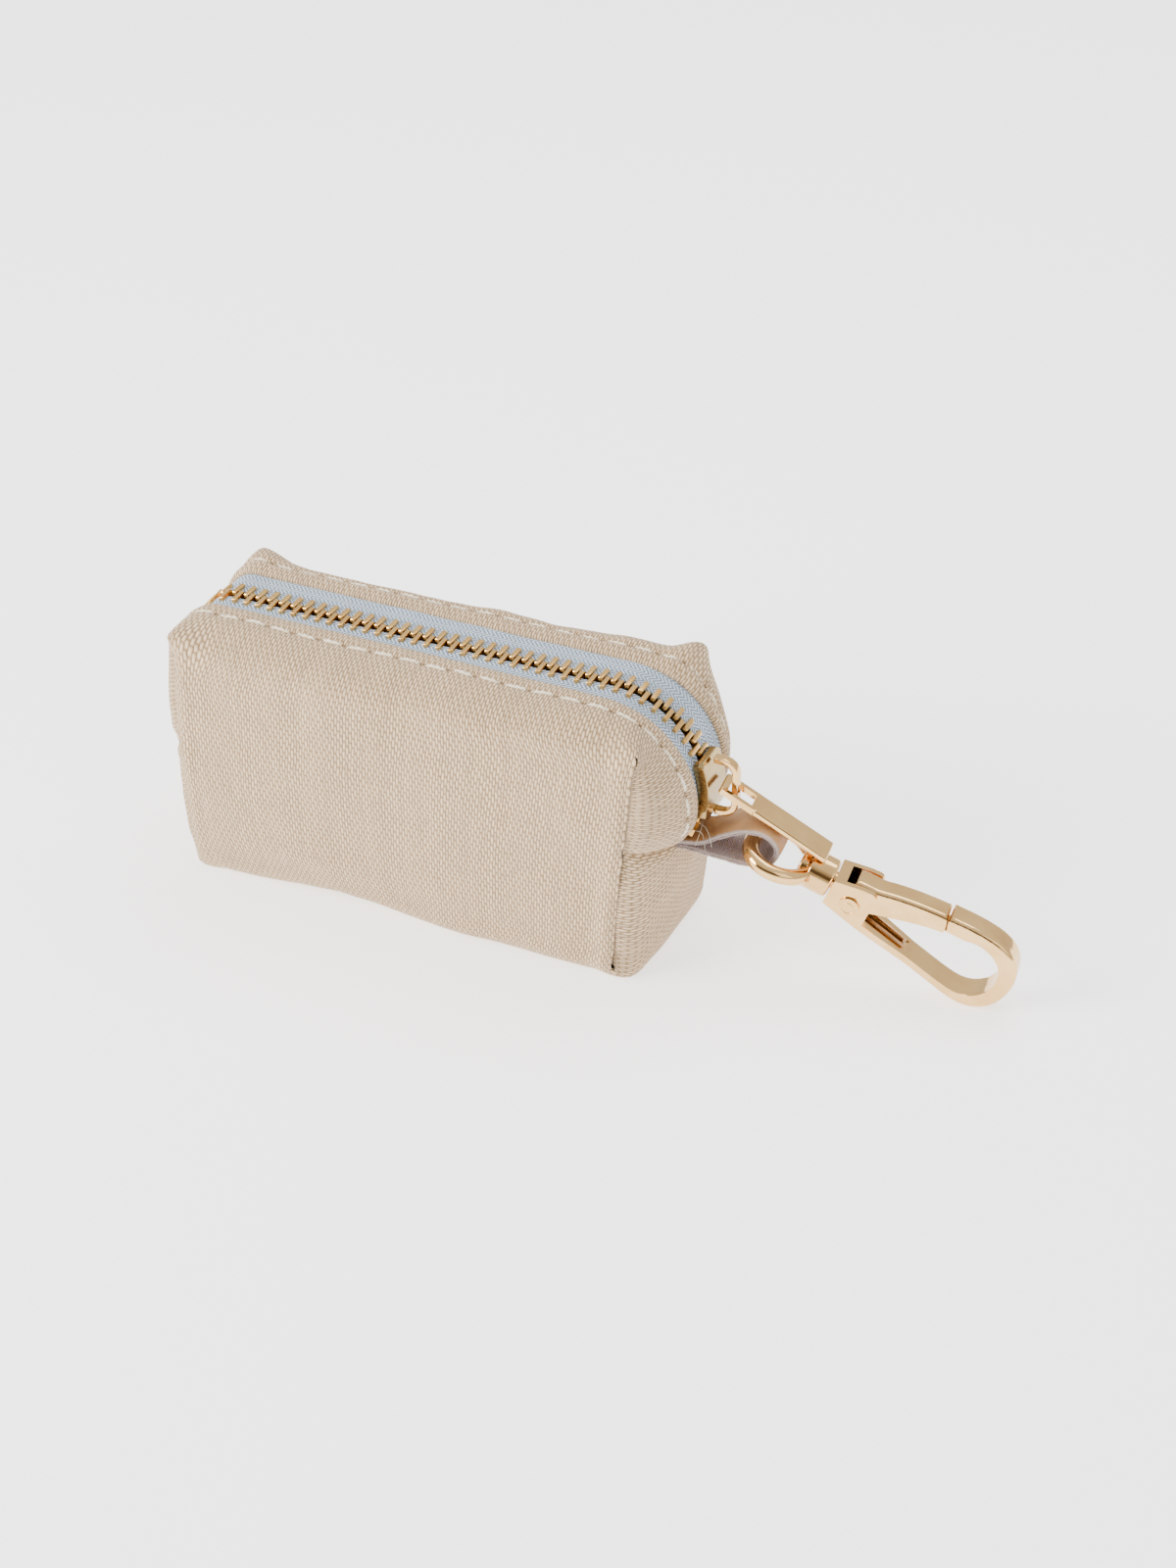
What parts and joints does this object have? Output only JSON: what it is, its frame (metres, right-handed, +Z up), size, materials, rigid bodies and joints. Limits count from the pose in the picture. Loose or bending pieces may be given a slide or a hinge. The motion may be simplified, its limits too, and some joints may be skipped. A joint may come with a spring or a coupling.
{
  "type": "zip pouch with swivel snap hook",
  "caption": "Small boxed-corner canvas pouch with a metal zipper over its top, a leather loop and a swivel trigger snap hook for clipping it to a bag, lead or belt.",
  "frame": {"origin": "centre of the pouch's flat base", "axes": "+Z up, +X along the zipper towards the snap hook, +Y towards the back"},
  "size_m": [0.1553, 0.0344, 0.0524],
  "materials": {
    "canvas": "coarse plain weave",
    "lining": "fine plain weave",
    "zip_tape": "herringbone tape",
    "zip_metal": "polished",
    "thread": "twisted thread",
    "leather": "smooth",
    "backing": "fine woven backing",
    "plated_metal": "pale gold plate, polished",
    "spring_steel": "drawn wire"
  },
  "bodies": {
    "pouch": {"canvas_body": "canvas", "lining": "lining", "zip_tape_front": "zip_tape", "zip_tape_back": "zip_tape", "teeth_front": "zip_metal", "teeth_back": "zip_metal", "top_stops": "zip_metal", "bottom_stop": "zip_metal", "topstitch_front": "thread", "topstitch_back": "thread", "seam_binding_right": "lining", "seam_binding_left": "lining", "corner_allowances": "canvas", "strap_leather": "leather", "strap_backing": "backing"},
    "slider": {"slider_body": "plated_metal", "slider_crown": "plated_metal"},
    "puller": {"pull_tab": "plated_metal"},
    "ring": {"swivel_ring": "plated_metal"},
    "hook": {"swivel_pin": "plated_metal", "hook_body": "plated_metal", "gate_rivet": "plated_metal", "gate_spring": "spring_steel"},
    "gate": {"gate": "plated_metal"}
  },
  "joints": [
    {"name": "slider_travel", "type": "hinge", "parent": "pouch", "child": "slider", "pos_m": [0.0345, 0, 0.03325], "axis": [0, -1, 0], "range_deg": [0, 62], "deforming": ["teeth_front", "teeth_back"]},
    {"name": "puller_swing", "type": "hinge", "parent": "slider", "child": "puller", "pos_m": [0.05565, 0, 0.0356], "axis": [0.0958, -0.9954, 0], "range_deg": [0, 85]},
    {"name": "ring_swing", "type": "hinge", "parent": "pouch", "child": "ring", "pos_m": [0.061, 0.00052, 0.02568], "axis": [0.0958, -0.9954, 0], "range_deg": [-60, 0]},
    {"name": "hook_swivel", "type": "hinge", "parent": "ring", "child": "hook", "pos_m": [0.07397, 0.00176, 0.02055], "axis": [0.9261, 0.0892, -0.3665], "continuous": true},
    {"name": "gate_swing", "type": "hinge", "parent": "hook", "child": "gate", "pos_m": [0.07897, 0.00225, 0.01749], "axis": [-0.0958, 0.9954, 0], "range_deg": [0, 20], "stiffness_Nm_per_rad": 0.04, "springref_deg": -28.65, "deforming": ["gate_spring"]}
  ]
}
